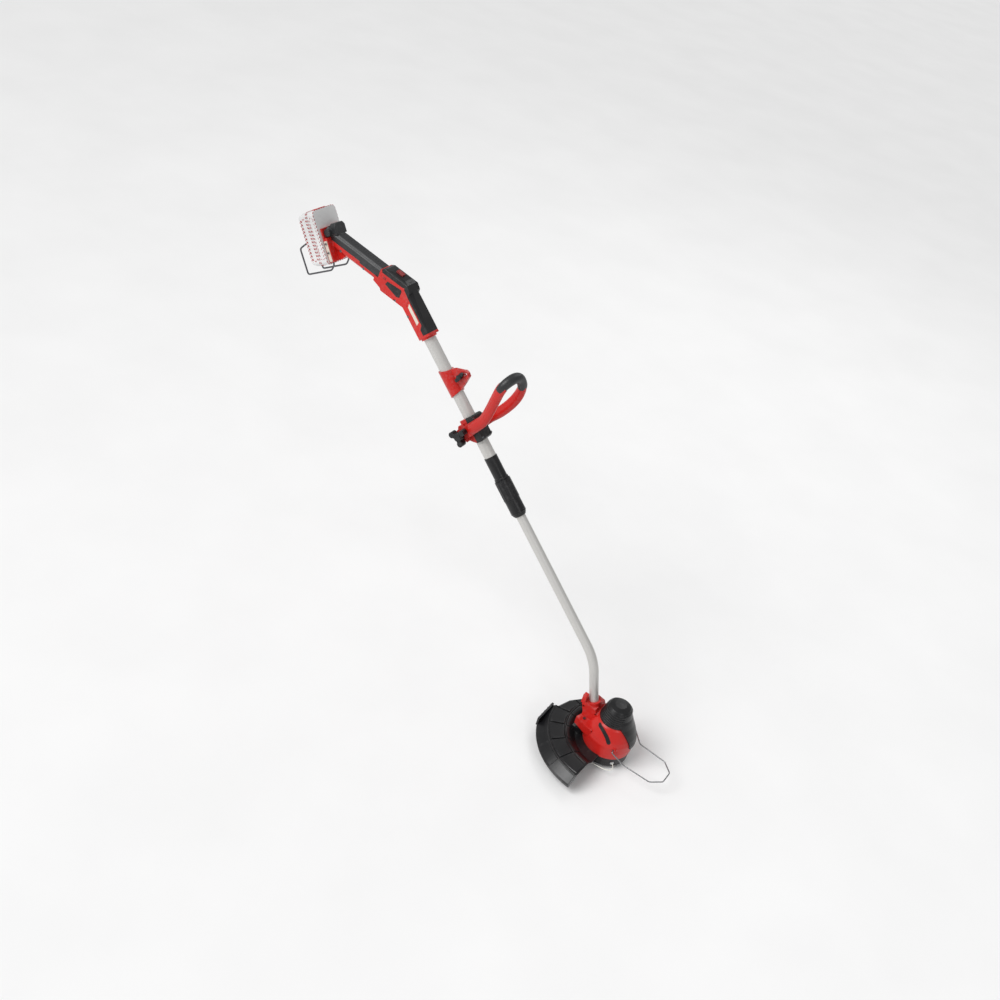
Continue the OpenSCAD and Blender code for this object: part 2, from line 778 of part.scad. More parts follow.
module motor_can() {
    color(steel) difference() {
        union() {
            at(0, 62) cylinder(r = 24, h = 62);
            at(0, 59.5) cylinder(r = 10, h = 3);
            at(0, 123) cylinder(r = 10, h = 3);
        }
        at(0, 70) cylinder(r = 22.2, h = 46);
        at(0, 50) cylinder(r = 5, h = 90);
        at(0, 61) cylinder(r = 8.02, h = 6.2);
        at(0, 119) cylinder(r = 8.02, h = 6.2);
    }
}

module motor_bearings() {
    color(steel) for (z = [61.1, 119.1]) difference() {
        at(0, z) cylinder(r = 8, h = 6);
        at(0, z - 1) cylinder(r = shaft_r + run, h = 8);
    }
}

module motor_rotor() {
    color([0.6, 0.4, 0.25]) {
        at(0, 22) cylinder(r = shaft_r, h = 116);
        at(0, 74) cylinder(r = 18, h = 38);
    }
}

module cooling_fan() {
    color(grey) difference() {
        union() {
            at(0, 128) cylinder(r = 6, h = 9);
            at(0, 128) cylinder(r = 21, h = 1.6);
            for (a = [0:40:320]) rotate([0, 0, a]) translate([4, -0.7, 129]) cube([16.5, 1.4, 7]);
        }
        at(0, 120) cylinder(r = shaft_r + 0.01, h = 30);
    }
}

// Cross-section of the shield, from the inner flange out to the rim
shield_line = [[44, 36], [92, 36], [108, 47], [118, 50], [159, 45], [164, 40], [rim_r, rim_z]];

module shield() {
    n = len(shield_line);
    color(black) difference() {
        union() {
            difference() {
                union() {
                    translate([shield_x, 0, 0]) rotate([0, 0, shield_from])
                        rotate_extrude(angle = shield_span, $fn = 120) polygon(concat(
                            [for (p = shield_line) p + [0, shield_t]],
                            [[rim_r, rim_z]], [for (i = [n - 2:-1:0]) shield_line[i]]));
                    // mounting blocks under the wings
                    for (side = [-1, 1]) translate([-62, side * 30, 36]) {
                        cylinder(r = 9, h = 25.7);
                        translate([-20, -7.5, 0]) cube([20, 15, 16]);
                    }
                }
                block([-200, -70, 20], [panel_x, -5, 60]);
                translate([0, 0, 15]) linear_extrude(50) polygon(far_edge);
            }
            block([panel_x, -72, rim_z - 1.5], [panel_x + 5, -3, 45]);
        }
        at(0, 30) cylinder(r = head_r + 1.2, h = 40);
        for (y = [-30, 30]) translate([-62, y, 30]) cylinder(r = 1.55, h = 60);
        block([-90, -24.5, 39.2], [-30, 24.5, 70]);
        for (y = rivet_y) translate([panel_x - 1, y, rivet_z]) rotate([0, 90, 0])
            cylinder(r = 2.05, h = 9);
    }
}

module shield_screws() {
    color(steel) for (y = [-30, 30]) translate([-62, y, 0]) {
        at(0, 40) cylinder(r = 1.5, h = 46);
        at(0, 84.1) cylinder(r = 3.4, h = 2.4);
    }
}

module line_cutter() {
    color(steel) {
        translate([panel_x + 5 + gap, -46, 12]) cube([1.6, 36, 19]);
        for (y = rivet_y) translate([panel_x - 0.8, y, rivet_z]) rotate([0, 90, 0]) cylinder(r = 2, h = 7);
    }
}

module guard_wire_loop() {
    side_leg = [[pivot_x, 44, pivot_z], [pivot_x, 58, pivot_z], [68, 44, 38], [139, 41, 35], [164, 18, 36]];
    path = rounded(concat(side_leg, [for (i = [len(side_leg) - 1:-1:0])
        [side_leg[i][0], -side_leg[i][1], side_leg[i][2]]]), 4, 3);
    color(steel) {
        sweep(path, guard_wire / 2, 12, [0.2, 0.1, 0.9]);
        for (side = [-1, 1]) translate([pivot_x, side * 47.5, pivot_z]) y_pin(guard_pin, 8);
    }
}

// ---------- spool ----------

eyelet_a = [-45, 135];

module spool_housing() {
    color(black) difference() {
        at(0, spool_z) cylinder(r = spool_r, h = spool_top - spool_z, $fn = 96);
        at(0, spool_z - 1) cylinder(r = spool_r - 3, h = 17);
        at(0, 0) cylinder(r = shaft_r + 0.01, h = 60);
        for (a = eyelet_a) rotate([0, 0, a]) translate([spool_r - 6, 0, 21]) rotate([0, 90, 0])
            cylinder(r = 3.02, h = 20);
    }
}

module spool_cover() {
    color(black) difference() {
        union() {
            at(0, cover_z) cylinder(r = spool_r - 1, h = 3, $fn = 96);
            at(0, cover_z + 2) cylinder(r = spool_r, h = spool_z - cover_z - 2 - gap, $fn = 96);
        }
        at(0, cover_z + 2.6) cylinder(r = spool_r - 3, h = 10);
        at(0, 0) cylinder(r = 22 + clear, h = 30);
    }
}

module bobbin() {
    color(grey) difference() {
        union() {
            at(0, 18.4) cylinder(r = 46, h = 1.6);
            at(0, 18.4) cylinder(r = 20, h = 13);
            at(0, 29.8) cylinder(r = 46, h = 1.6);
        }
        at(0, 10) cylinder(r = 15, h = 30);
    }
}

module wound_line() {
    color(white) rotate_extrude($fn = 96) polygon([[20.1, 20.1], [43, 20.1], [44, 22.5], [44, 27.5], [43, 29.7],
        [20.1, 29.7]]);
}

module line_eyelets() {
    color(steel) for (a = eyelet_a) rotate([0, 0, a]) translate([spool_r - 5, 0, 21]) rotate([0, 90, 0])
        difference() {
            union() {
                cylinder(r = 3, h = 5.4);
                translate([0, 0, 5.05]) cylinder(r = 4.4, h = 1.6);
            }
            translate([0, 0, -1]) cylinder(r = line_d / 2 + 0.3, h = 10);
        }
}

// Route of the free cutting line, swept back round the spool from its eyelet
line_route = [[38.2, -38.2, 21], [43, -43, 21], [47, -47, 20.6], [50, -52, 20], [50, -58, 19], [46, -63, 18],
    [39, -66, 17], [30, -68, 16.2], [18, -69, 15.6], [5, -70, 15], [-9, -72, 14.6], [-24, -76, 14.3],
    [-40, -82, 14], [-56, -89, 14], [-72, -97, 14], [-84, -103, 14]];

module cutting_line() { color([0.88, 0.88, 0.80]) sweep(smooth(line_route, 2), line_d / 2, 8); }

module tap_button() {
    color(red) {
        at(0, 0) cylinder(r1 = 18, r2 = 22, h = 4);
        at(0, 4) cylinder(r = 22, h = 9);
        at(0, 11) cylinder(r = 26, h = 2.4);
    }
}

module tap_spring() {
    turns = 6;
    low = 14.1;
    high = 30.8;
    path = [for (i = [0:turns * 16]) let (t = i / 16)
        [9 * cos(360 * t), 9 * sin(360 * t), low + (high - low) * t / turns]];
    color(steel) sweep(path, 0.6, 6, [0, 0, 1]);
}

handle_shell_right();
handle_shell_left();
top_cover();
soft_grip();
shaft_end_ring();
handle_screws();
badge_plates();
side_inlays();
trigger();
trigger_pin();
lock_off_button();
switch_module();
control_board();
battery_terminals();
battery_lower_case();
battery_upper_case();
battery_cells();
battery_release();
battery_bracket();
clip_plates();
upper_tube();
upper_cable();
strap_bracket();
strap_bolt();
strap_knob();
clamp_lower_half();
clamp_upper_half();
clamp_screws();
loop_handle();
loop_grip();
loop_bolt();
loop_knob();
loop_nut();
lock_sleeve();
lock_collet();
lock_collar();
guide_bush();
lower_tube();
lower_cable();
head_shell_right();
head_shell_left();
head_screws();
side_windows();
motor_cap();
motor_can();
motor_bearings();
motor_rotor();
cooling_fan();
shield();
shield_screws();
line_cutter();
guard_wire_loop();
spool_housing();
spool_cover();
bobbin();
wound_line();
line_eyelets();
cutting_line();
tap_button();
tap_spring();
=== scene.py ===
import bpy, bmesh, math
from mathutils import Matrix, Vector


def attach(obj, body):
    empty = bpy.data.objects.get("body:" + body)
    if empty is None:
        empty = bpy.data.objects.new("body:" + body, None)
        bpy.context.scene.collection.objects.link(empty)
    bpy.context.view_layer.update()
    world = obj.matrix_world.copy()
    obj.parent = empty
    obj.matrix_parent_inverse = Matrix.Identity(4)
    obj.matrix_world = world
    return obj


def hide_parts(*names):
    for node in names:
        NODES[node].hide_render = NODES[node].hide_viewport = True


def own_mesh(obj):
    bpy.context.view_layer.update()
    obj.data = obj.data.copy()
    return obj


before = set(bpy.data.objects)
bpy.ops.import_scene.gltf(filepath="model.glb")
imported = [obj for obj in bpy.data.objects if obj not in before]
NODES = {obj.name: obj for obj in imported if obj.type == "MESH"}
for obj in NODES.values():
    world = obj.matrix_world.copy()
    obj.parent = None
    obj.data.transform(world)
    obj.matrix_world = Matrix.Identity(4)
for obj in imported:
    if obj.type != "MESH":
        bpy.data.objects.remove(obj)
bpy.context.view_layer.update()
MM = 0.001
UP, SIDE = Vector((0, 0, 1)), Vector((0, 1, 0))


# ---------- camera: from above, ahead of the tool and on its right ----------
CAM_AT = Vector((0.4598, -2.0121, 2.1005))
CAM_RIGHT = Vector((0.815, 0.537, 0.218)).normalized()
CAM_BACK = Vector((0.329, -0.739, 0.588)).normalized()

cam = bpy.data.objects.new("camera", bpy.data.cameras.new("camera"))
bpy.context.scene.collection.objects.link(cam)
cam_up = CAM_BACK.cross(CAM_RIGHT).normalized()
cam_right = cam_up.cross(CAM_BACK).normalized()
basis = Matrix((cam_right, cam_up, CAM_BACK)).transposed().to_4x4()
cam.matrix_world = Matrix.Translation(CAM_AT) @ basis
cam.data.sensor_width = 36
cam.data.lens = 43.2
cam.data.clip_end = 120
bpy.context.scene.camera = cam


# ---------- frames of the handle, shaft and battery ----------
SHAFT_TILT = math.radians(42.7)
GRIP_TILT = math.radians(32.4)
SEAT_TILT = math.radians(32.7)
SHAFT_START = (-0.6793, 0, 0.7699)
SEAT_CENTRE = (-0.9914, 0, 0.8868)


def turn_y(a):
    return Matrix.Rotation(a, 4, "Y")


SHAFT = Matrix.Translation(SHAFT_START) @ turn_y(SHAFT_TILT - math.pi / 2)
HAND = SHAFT @ turn_y(-GRIP_TILT)
PACK = Matrix.Translation(SEAT_CENTRE) @ turn_y(-SEAT_TILT)


def mm(m, x, y, z):
    """Point given in millimetres in frame m."""
    return m @ Vector((x * MM, y * MM, z * MM))


# ---------- materials ----------
def principled(name):
    m = bpy.data.materials.new(name)
    m.use_nodes = True
    t = m.node_tree
    return m, t, t.nodes["Principled BSDF"]


def add(t, kind, **values):
    n = t.nodes.new("ShaderNode" + kind)
    for k, v in values.items():
        if hasattr(n, k):
            setattr(n, k, v)
        else:
            n.inputs[k].default_value = v
    return n


def noise(t, scale, detail=4.0):
    n = add(t, "TexNoise", Scale=scale, Detail=detail)
    t.links.new(add(t, "TexCoord").outputs["Object"], n.inputs["Vector"])
    return n.outputs["Fac"]


def ramp(t, fac, stops):
    r = add(t, "ValToRGB")
    while len(r.color_ramp.elements) < len(stops):
        r.color_ramp.elements.new(0.5)
    for e, (p, c) in zip(r.color_ramp.elements, stops):
        e.position = p
        e.color = (*c, 1) if len(c) == 3 else c
    t.links.new(fac, r.inputs["Fac"])
    return r.outputs["Color"]


def shade(c, k):
    return tuple(min(1.0, v * k) for v in c)


def span(t, fac, lo, hi):
    r = add(t, "MapRange")
    r.inputs["To Min"].default_value = lo
    r.inputs["To Max"].default_value = hi
    t.links.new(fac, r.inputs["Value"])
    return r.outputs["Result"]


def rounded_and_rough(t, b, height, depth, strength, edge, samples):
    """Rounded corners under a fine surface bump."""
    bev = add(t, "Bevel", samples=samples)
    bev.inputs["Radius"].default_value = edge
    bump = add(t, "Bump")
    bump.inputs["Strength"].default_value = strength
    bump.inputs["Distance"].default_value = depth
    t.links.new(height, bump.inputs["Height"])
    t.links.new(bev.outputs[0], bump.inputs["Normal"])
    t.links.new(bump.outputs[0], b.inputs["Normal"])


def plastic(name, colour, rough, grain=1400, depth=0.00006, wear=0.35, edge=0.0012, coat=0.0, spec=0.5):
    """Moulded plastic: slow colour drift, fine mould grain, paler rubbed edges and rounded corners."""
    m, t, b = principled(name)
    drift = ramp(t, noise(t, 9, 3), [(0.3, shade(colour, 0.88)), (0.7, shade(colour, 1.1))])
    geo = add(t, "NewGeometry")
    rub = ramp(t, geo.outputs["Pointiness"], [(0.52, (0, 0, 0)), (0.60, (1, 1, 1))])
    part = add(t, "MixRGB", blend_type="MULTIPLY")
    part.inputs[0].default_value = 1
    t.links.new(rub, part.inputs[1])
    patches = ramp(t, noise(t, 140, 5), [(0.45, (0, 0, 0)), (0.7, (wear, wear, wear))])
    t.links.new(patches, part.inputs[2])
    mix = add(t, "MixRGB")
    pale = tuple(0.55 * v + 0.16 for v in colour)
    mix.inputs[2].default_value = (*pale, 1)
    t.links.new(part.outputs[0], mix.inputs[0])
    t.links.new(drift, mix.inputs[1])
    t.links.new(mix.outputs[0], b.inputs["Base Color"])
    t.links.new(span(t, noise(t, 60, 5), rough - 0.07, rough + 0.09), b.inputs["Roughness"])
    b.inputs["Specular IOR Level"].default_value = spec
    b.inputs["Coat Weight"].default_value = coat
    b.inputs["Coat Roughness"].default_value = 0.18
    rounded_and_rough(t, b, noise(t, grain, 2), depth, 0.35, edge, 6)
    return m


def metal(name, colour, rough, metallic=1.0):
    """Drawn or plated metal: fine mottling, uneven polish and slightly broken edges."""
    m, t, b = principled(name)
    b.inputs["Metallic"].default_value = metallic
    mottle = noise(t, 900)
    tint = ramp(t, mottle, [(0.3, shade(colour, 0.9)), (0.7, shade(colour, 1.06))])
    t.links.new(tint, b.inputs["Base Color"])
    t.links.new(span(t, noise(t, 30, 5), rough - 0.06, rough + 0.1), b.inputs["Roughness"])
    rounded_and_rough(t, b, mottle, 0.00003, 0.3, 0.0004, 4)
    return m


RED = plastic("red_plastic", (0.56, 0.014, 0.010), 0.33, grain=900, coat=0.12, spec=0.35)
# dark red: the lock-off button's own colour; the same material paints the shade of the housing vents
DARK_RED = plastic("dark_red_plastic", (0.26, 0.012, 0.012), 0.42)
BLACK = plastic("black_plastic", (0.009, 0.009, 0.010), 0.34, grain=1100, wear=0.14, spec=0.4)
SHIELD_BLACK = plastic(
    "shield_black", (0.008, 0.008, 0.009), 0.32, grain=700, wear=0.2, edge=0.001, spec=0.4)
RUBBER = plastic(
    "soft_rubber", (0.022, 0.023, 0.025), 0.42, grain=2200, depth=0.0001, wear=0.08, edge=0.003)
CREAM = plastic("cream_plastic", (0.70, 0.62, 0.53), 0.45)
WHITE = plastic("battery_white", (0.74, 0.74, 0.74), 0.5, wear=0.05, edge=0.003)
MARK_RED = plastic("mark_red", (0.42, 0.012, 0.014), 0.5, wear=0.05, edge=0.0003)
CELL = plastic("cell_wrap", (0.06, 0.2, 0.25), 0.35)
BOARD = plastic("board_green", (0.03, 0.17, 0.06), 0.4)
NYLON = plastic("grey_nylon", (0.14, 0.14, 0.15), 0.5)
LINE = plastic("line_nylon", (0.78, 0.78, 0.70), 0.35, depth=0.00002, wear=0.05, edge=0.0002)
ALU = metal("aluminium", (0.60, 0.59, 0.57), 0.42, metallic=0.35)
STEEL = metal("steel", (0.55, 0.55, 0.56), 0.3)
DARK_WIRE = metal("dark_wire", (0.12, 0.12, 0.13), 0.34, metallic=0.8)
BRIGHT_WIRE = metal("bright_wire", (0.30, 0.30, 0.31), 0.26)
SCREW = metal("screw_steel", (0.16, 0.16, 0.17), 0.3)
WINDING = metal("winding", (0.55, 0.27, 0.12), 0.35)

LOOKS = {
    RED: ["handle_shell_right", "handle_shell_left", "shaft_end_ring", "strap_bracket", "clamp_lower_half",
          "loop_handle", "head_shell_right", "head_shell_left", "tap_button", "battery_release"],
    DARK_RED: ["lock_off_button"],
    BLACK: ["top_cover", "badge_plates", "trigger", "switch_module", "battery_terminals", "upper_cable",
            "lower_cable", "strap_knob", "clamp_upper_half", "loop_knob", "lock_sleeve", "lock_collar",
            "side_windows", "motor_cap", "spool_housing", "spool_cover"],
    SHIELD_BLACK: ["shield"],
    RUBBER: ["soft_grip", "loop_grip"],
    CREAM: ["side_inlays", "clip_plates"],
    WHITE: ["battery_lower_case", "battery_upper_case"],
    CELL: ["battery_cells"],
    BOARD: ["control_board"],
    NYLON: ["lock_collet", "guide_bush", "cooling_fan", "bobbin"],
    LINE: ["wound_line", "cutting_line"],
    ALU: ["upper_tube", "lower_tube"],
    STEEL: ["trigger_pin", "strap_bolt", "loop_bolt", "motor_can", "motor_bearings", "line_cutter",
            "line_eyelets", "tap_spring"],
    SCREW: ["handle_screws", "clamp_screws", "head_screws", "shield_screws", "loop_nut"],
    DARK_WIRE: ["battery_bracket"],
    BRIGHT_WIRE: ["guard_wire_loop"],
    WINDING: ["motor_rotor"],
}
for material, names in LOOKS.items():
    for name in names:
        NODES[name].data.materials.clear()
        NODES[name].data.materials.append(material)


# ---------- mesh helpers ----------
def piece(name, verts, faces, material, body, smooth=True, replaces=()):
    me = bpy.data.meshes.new(name)
    me.from_pydata([tuple(v) for v in verts], [], faces)
    me.validate()
    bm = bmesh.new()
    bm.from_mesh(me)
    bmesh.ops.recalc_face_normals(bm, faces=bm.faces)
    bm.to_mesh(me)
    bm.free()
    o = bpy.data.objects.new(name, me)
    bpy.context.scene.collection.objects.link(o)
    me.materials.append(material)
    me.polygons.foreach_set("use_smooth", [smooth] * len(me.polygons))
    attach(o, body)
    if replaces:
        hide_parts(*replaces)
    return o


def catmull(points, k):
    out = []
    n = len(points)
    for i in range(n - 1):
        a, b = points[max(i - 1, 0)], points[i]
        c, d = points[i + 1], points[min(i + 2, n - 1)]
        for j in range(k):
            t = j / k
            out.append(0.5 * (2 * b + (c - a) * t + (2 * a - 5 * b + 4 * c - d) * t * t
                              + (3 * b - a - 3 * c + d) * t ** 3))
    out.append(points[-1])
    return out


def tube_rings(path, radius, sides, first):
    """Rings of a tube whose radius may change along it: radius(i) gives (across, along first)."""
    verts, normal = [], first.normalized()
    for i, p in enumerate(path):
        tangent = (path[min(i + 1, len(path) - 1)] - path[max(i - 1, 0)]).normalized()
        normal = (normal - tangent * normal.dot(tangent)).normalized()
        other = tangent.cross(normal)
        ra, rb = radius(i)
        for j in range(sides):
            a = 2 * math.pi * j / sides
            verts.append(p + normal * (ra * math.cos(a)) + other * (rb * math.sin(a)))
    return verts


def tube_faces(rings, sides, start=0):
    faces = []
    for i in range(rings - 1):
        for j in range(sides):
            k = (j + 1) % sides
            faces.append([start + i * sides + j, start + i * sides + k,
                          start + (i + 1) * sides + k, start + (i + 1) * sides + j])
    faces.append([start + j for j in range(sides)][::-1])
    faces.append([start + (rings - 1) * sides + j for j in range(sides)])
    return faces


class Parts:
    """Collects many small tubes and blocks into one mesh."""

    def __init__(self):
        self.v, self.f = [], []

    def tube(self, path, r, sides=8, first=Vector((0.3, 0.9, 0.2))):
        start = len(self.v)
        self.v += tube_rings(path, lambda i: (r, r), sides, first)
        self.f += tube_faces(len(path), sides, start)

    def grid(self, rows):
        start = len(self.v)
        w = len(rows[0])
        for row in rows:
            self.v += row
        for i in range(len(rows) - 1):
            for j in range(w - 1):
                a = start + i * w + j
                self.f.append([a, a + 1, a + w + 1, a + w])

    def slab(self, m, lo, hi, bevel=0.3):
        """Block with chamfered edges in frame m, millimetres."""
        start = len(self.v)
        bm = bmesh.new()
        bmesh.ops.create_cube(bm, size=1)
        size = [hi[i] - lo[i] for i in range(3)]
        mid = [(hi[i] + lo[i]) / 2 for i in range(3)]
        for v in bm.verts:
            v.co = Vector([v.co[i] * size[i] + mid[i] for i in range(3)])
        bmesh.ops.bevel(bm, geom=list(bm.edges), offset=bevel, segments=2, affect="EDGES", profile=0.6)
        bm.verts.index_update()
        for v in bm.verts:
            self.v.append(m @ (v.co * MM))
        for f in bm.faces:
            self.f.append([start + v.index for v in f.verts])
        bm.free()


# ---------- cutting line: its route in millimetres, as in the CAD ----------
LINE_ROUTE = [(41.5, -41.5, 21), (43, -43, 21), (47, -47, 20.6), (50, -52, 20), (50, -58, 19),
              (46, -63, 18), (39, -66, 17), (30, -68, 16.2), (18, -69, 15.6), (5, -70, 15), (-9, -72, 14.6),
              (-24, -76, 14.3), (-40, -82, 14), (-56, -89, 14), (-72, -97, 14), (-84, -103, 14)]
line_path = catmull([Vector(p) * MM for p in LINE_ROUTE], 4)
LINE_R = 0.98 * MM
line_piece = piece("cutting_line_free", tube_rings(line_path, lambda i: (LINE_R, LINE_R), 12, UP),
                   tube_faces(len(line_path), 12), LINE, "spool", replaces=("cutting_line",))


# ---------- battery: dashed outline marks on the white pack ----------
PACK_LOW, PACK_HIGH, PACK_HALF = -33, 87, 38
PACK_MID, PACK_CROWN, PACK_CORNER = 27, 69, 10
PACK_BACK = -45
MARK_STEP = 0.4


def dashes(parts, points, r=0.95, on=4.8, off=3.0):
    """Short raised marks along a closed or open line of points, all in row-frame metres."""
    run, keep = 0.0, []
    step = (on + off) * MM
    for a, b in zip(points, points[1:]):
        length = (b - a).length
        n = max(1, int(length / (MARK_STEP * MM)))
        for i in range(n):
            p = a.lerp(b, i / n)
            if run % step < on * MM:
                keep.append(p)
            elif keep:
                if len(keep) > 2:
                    parts.tube(keep[:: max(1, len(keep) // 4)], r * MM, 6)
                keep = []
            run += length / n
    if len(keep) > 2:
        parts.tube(keep[:: max(1, len(keep) // 4)], r * MM, 6)


def pack_outline(x, inset=0.0):
    """Rounded rectangle round the pack at depth x, following its crowned ends."""
    reach = math.sqrt(PACK_CROWN ** 2 - x * x)
    low = max(PACK_LOW, PACK_MID - reach) + inset
    high = min(PACK_HIGH, PACK_MID + reach) - inset
    half = PACK_HALF - inset
    r = PACK_CORNER - min(inset, 4)
    out = []
    for cy, cz, start in ((half - r, high - r, 0), (-half + r, high - r, 90), (-half + r, low + r, 180),
                          (half - r, low + r, 270)):
        for k in range(7):
            a = math.radians(start + 15 * k)
            out.append(mm(PACK, x, cy + r * math.cos(a), cz + r * math.sin(a)))
    out.append(out[0])
    return out


def side_oval(y, x0, x1, z0, z1):
    """Long oval on a side face of the pack."""
    r = (x1 - x0) / 2
    mid = (x0 + x1) / 2
    out = []
    for cz, start in ((z1 - r, 0), (z0 + r, 180)):
        for k in range(13):
            a = math.radians(start + 15 * k)
            out.append(mm(PACK, mid + r * math.cos(a), y, cz + r * math.sin(a)))
    out.append(out[0])
    return out


THIN_MARK = 0.6
marks = Parts()
for x, inset in ((-44.9, 0.2), (-42, 0), (-24.2, 0), (-20, 0), (-1.2, 0)):
    dashes(marks, pack_outline(x, inset))
dashes(marks, pack_outline(PACK_BACK, 9))
for y in (-PACK_HALF, PACK_HALF):
    dashes(marks, side_oval(y, -40, -27, -20, 74))
    dashes(marks, side_oval(y, -16, -6, -20, 74), r=THIN_MARK)
    for z in range(-10, 60, 9):
        dashes(marks, [mm(PACK, -17.5, y, z), mm(PACK, -17.5, y, z + 5)], r=THIN_MARK)
for z in range(-24, 67, 18):
    dashes(marks, [mm(PACK, PACK_BACK, -22, z), mm(PACK, PACK_BACK, 22, z)], r=THIN_MARK)
for y in (-16, 16):
    dashes(marks, [mm(PACK, x, y, PACK_HIGH) for x in (-20, -8)], r=THIN_MARK)
piece("battery_outline_marks", marks.v, marks.f, MARK_RED, "battery")


# ---------- shield: overlapping panels on its upper side ----------
SHIELD_X, SHIELD_T = 14, 2.6
SHIELD_LINE = [(63, 36), (78, 36), (92, 36), (100, 41.5), (108, 47), (118, 50), (132, 48.5), (146, 46.7),
               (159, 45), (164, 40), (173, 32.4), (182.4, 24.5)]
SHIELD_FROM, SHIELD_TO = 143.0, 265.0
FAR_EDGE = [(-139, -5.5), (-127.5, 29.6), (-99.9, 64.6), (-60, 115)]


def shield_height(r):
    for (ra, za), (rb, zb) in zip(SHIELD_LINE, SHIELD_LINE[1:]):
        if r <= rb:
            return za + (zb - za) * max(0, r - ra) / (rb - ra)
    return SHIELD_LINE[-1][1]


def shield_point(r, deg, lift):
    a = math.radians(deg)
    return Vector((SHIELD_X + r * math.cos(a), r * math.sin(a), shield_height(r) + SHIELD_T + lift)) * MM


def far_reach(deg):
    """How far out the shield goes at this angle before its cut-back far edge."""
    a = math.radians(deg)
    dx, dy = math.cos(a), math.sin(a)
    best = math.inf
    for (xa, ya), (xb, yb) in zip(FAR_EDGE, FAR_EDGE[1:]):
        ex, ey = xb - xa, yb - ya
        px, py = xa - SHIELD_X, ya
        det = dy * ex - dx * ey
        r, t = (py * ex - px * ey) / det, (dx * py - dy * px) / det
        if -0.02 <= t <= 1.02 and r > 0:
            best = min(best, r)
    return best


# Each ring of panels: inner radius, outer radius, lift of the low side and rise to the high side
PANEL_RINGS = ((96, 117, 0.25, 1.6), (121, 157, 0.25, 2.4), (161, 182.6, 0.2, 1.6))
PANELS = 6
PANEL_SPAN = (SHIELD_TO - SHIELD_FROM) / PANELS
PANEL_GAP = 0.012
PANEL_SINK, PANEL_EDGE, PANEL_BORDER = 0.3, 0.5, 2.2
RIM_PANELS_FROM = 205


def panel_row(r0, r1, deg, top):
    """Points across one panel, from inside the shield's skin over its top and back in."""
    inner, outer = r0 + PANEL_EDGE, r1 - PANEL_EDGE
    flat = r1 - r0 - 2 * PANEL_BORDER
    return ([shield_point(inner, deg, -PANEL_SINK), shield_point(inner, deg, top * 0.5)]
            + [shield_point(r0 + PANEL_BORDER + flat * i / 6, deg, top) for i in range(7)]
            + [shield_point(outer, deg, top * 0.5), shield_point(outer, deg, -PANEL_SINK)])


def sunk(row, deg):
    """The same radii at the panel's side, just under the shield's skin."""
    return [shield_point((Vector((p.x / MM - SHIELD_X, p.y / MM))).length, deg, -PANEL_SINK) for p in row]


panels = Parts()
for r0, r1, low, rise in PANEL_RINGS:
    for k in range(PANELS):
        start = SHIELD_FROM + k * PANEL_SPAN
        if r0 == PANEL_RINGS[-1][0] and start < RIM_PANELS_FROM:
            continue
        rows = []
        for j in range(9):
            t = j / 8
            deg = start + PANEL_SPAN * (PANEL_GAP + (1 - 2 * PANEL_GAP) * t)
            reach = min(r1, max(far_reach(deg) - 1.5, r0 + 6))
            rows.append(panel_row(r0, reach, deg, low + rise * (0.15 + 0.85 * t)))
        first = sunk(rows[0], start + PANEL_SPAN * PANEL_GAP)
        last = sunk(rows[-1], start + PANEL_SPAN * (1 - PANEL_GAP))
        panels.grid([first] + rows + [last])
piece("shield_panels", panels.v, panels.f, SHIELD_BLACK, "lower", smooth=False)

ridges = Parts()
turns = [SHIELD_FROM + (SHIELD_TO - SHIELD_FROM) * i / 90 for i in range(91)]
for r, size in ((119, 1.5), (159.5, 1.6)):
    ridges.tube([shield_point(r, deg, 0.6) for deg in turns if far_reach(deg) > r + 2], size * MM, 10, UP)
piece("shield_ridges", ridges.v, ridges.f, SHIELD_BLACK, "lower")

# ribs on the outside of the cutter's panel
RIB_X, RIB_Z, RIB_HALF = (-158.2, -156.9), (24.5, 44.2), 0.8
stays = Parts()
for y in (-66, -52, -38, -24, -9):
    low, high = [(RIB_X[i], y + side * RIB_HALF, RIB_Z[i]) for i, side in enumerate((-1, 1))]
    stays.slab(Matrix.Identity(4), low, high, 0.4)
piece("cutter_panel_ribs", stays.v, stays.f, SHIELD_BLACK, "lower", smooth=False)


# ---------- motor cap: louvres and seam ----------
CAP_LINE = [(38.3, 113), (38, 118), (34.5, 134), (31, 146), (25, 154)]


def cap_radius(z):
    for (ra, za), (rb, zb) in zip(CAP_LINE, CAP_LINE[1:]):
        if z <= zb:
            return ra + (rb - ra) * max(0, z - za) / (zb - za)
    return CAP_LINE[-1][0]


def cap_point(z, deg, lift):
    r, a = cap_radius(z) + lift, math.radians(deg)
    return Vector((r * math.cos(a), r * math.sin(a), z)) * MM


LOUVRES, LOUVRE_LOW, LOUVRE_PITCH, LOUVRE_RISE = 6, 118, 5.2, 3.5
louvres = Parts()
for side in (-1, 1):
    for k in range(LOUVRES):
        slope = [(side * (42 + 9 * i - 1.5 * k), LOUVRE_LOW + LOUVRE_PITCH * k + LOUVRE_RISE * i / 12)
                 for i in range(13)]
        louvres.tube([cap_point(z, deg, 0.15) for deg, z in slope], 1.35 * MM, 8, UP)
for z, start, end in ((116.5, 50, 310), (149.5, 0, 360)):
    louvres.tube([cap_point(z, deg, 0.1) for deg in range(start, end + 1, 5)], 0.8 * MM, 8, UP)
piece("motor_cap_louvres", louvres.v, louvres.f, BLACK, "lower")


